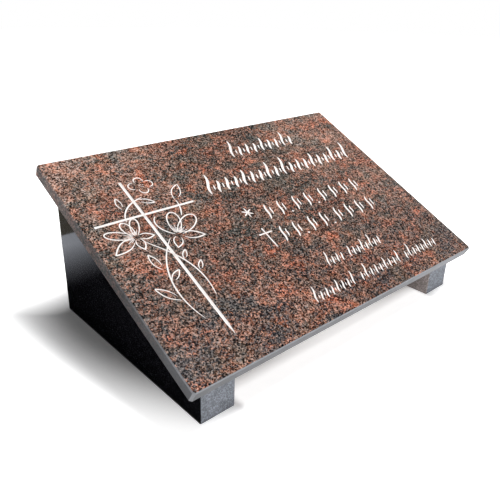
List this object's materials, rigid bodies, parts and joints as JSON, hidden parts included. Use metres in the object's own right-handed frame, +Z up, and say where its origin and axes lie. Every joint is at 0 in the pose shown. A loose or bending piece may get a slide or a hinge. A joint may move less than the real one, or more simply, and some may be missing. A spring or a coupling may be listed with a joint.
{
  "type": "granite headstone",
  "caption": "Polished granite memorial slab with an engraved cross, flower spray and rows of strokes, lying tilted on wedge-shaped granite supports.",
  "frame": {"origin": "middle of the footprint, on the ground that the supports stand on", "axes": "+X along the slab's width to the viewer's right, +Y to the high back edge, +Z up"},
  "size_m": [0.6, 0.367, 0.2471],
  "materials": {
    "red_granite": "polished multicolour red granite, white painted engraving",
    "dark_granite": "black granite, polished outer sides, sawn front, inner and back faces"
  },
  "bodies": {
    "root": {"inscription_slab": "red_granite", "left_support": "dark_granite", "right_support": "dark_granite"}
  },
  "joints": []
}
